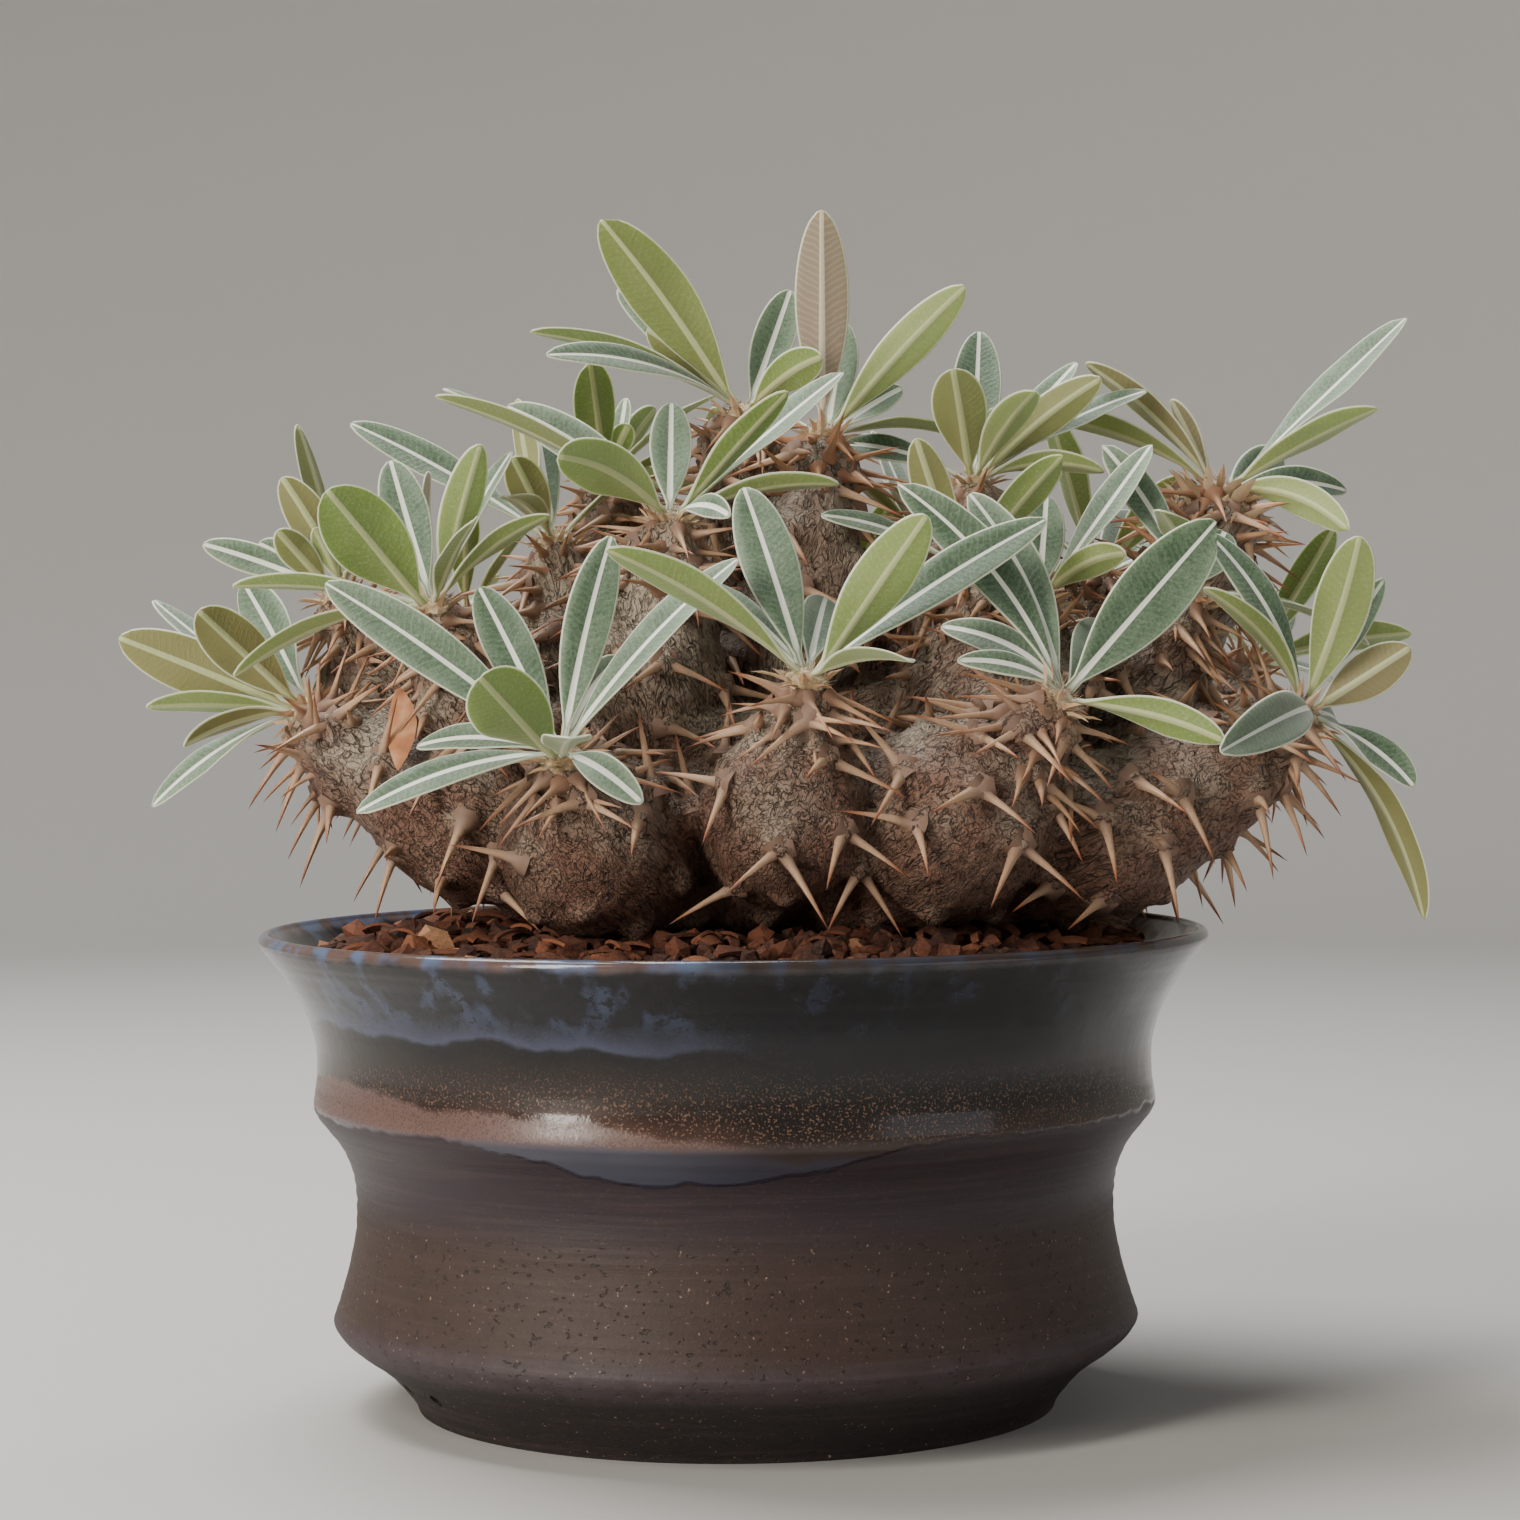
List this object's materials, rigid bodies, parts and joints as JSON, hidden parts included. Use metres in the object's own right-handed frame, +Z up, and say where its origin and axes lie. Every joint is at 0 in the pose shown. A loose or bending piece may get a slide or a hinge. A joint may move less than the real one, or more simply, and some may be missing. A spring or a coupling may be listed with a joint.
{
  "type": "potted caudex plant",
  "caption": "Spiny caudex plant with a swollen, many-limbed body and felted leaves at the limb tips, in a flared stoneware pot.",
  "frame": {"origin": "middle of the whole plant's footprint (its bounding box), on the surface that the pot stands on; the pot's axis stands 11.4 mm to -X and 9.0 mm to -Y of it", "axes": "+Z up; +X to the right and -Y to the viewer, as the plant is seen from the front"},
  "size_m": [0.2488, 0.2022, 0.2227],
  "materials": {
    "pot": "glossy dark glaze over bare brown stoneware",
    "soil": "loose granules, matte",
    "bark": "rough, matte",
    "leaf": "felted, matte"
  },
  "bodies": {
    "root": {"pot": "pot", "soil": "soil", "caudex": "bark", "leaves_back_high": "leaf", "leaves_back_left": "leaf", "leaves_back_left_high": "leaf", "leaves_back_low_left": "leaf", "leaves_back_low_right": "leaf", "leaves_back_middle": "leaf", "leaves_back_right": "leaf", "leaves_back_right_high": "leaf", "leaves_centre_right": "leaf", "leaves_far_left": "leaf", "leaves_far_right_back": "leaf", "leaves_front_left": "leaf", "leaves_front_middle": "leaf", "leaves_front_right": "leaf", "leaves_left": "leaf", "leaves_left_behind": "leaf", "leaves_left_inner": "leaf", "leaves_middle_left": "leaf", "leaves_right": "leaf", "leaves_right_high": "leaf", "leaves_right_inner": "leaf", "leaves_right_low": "leaf", "leaves_right_mid": "leaf", "leaves_top_left": "leaf", "leaves_top_right": "leaf"}
  },
  "joints": []
}
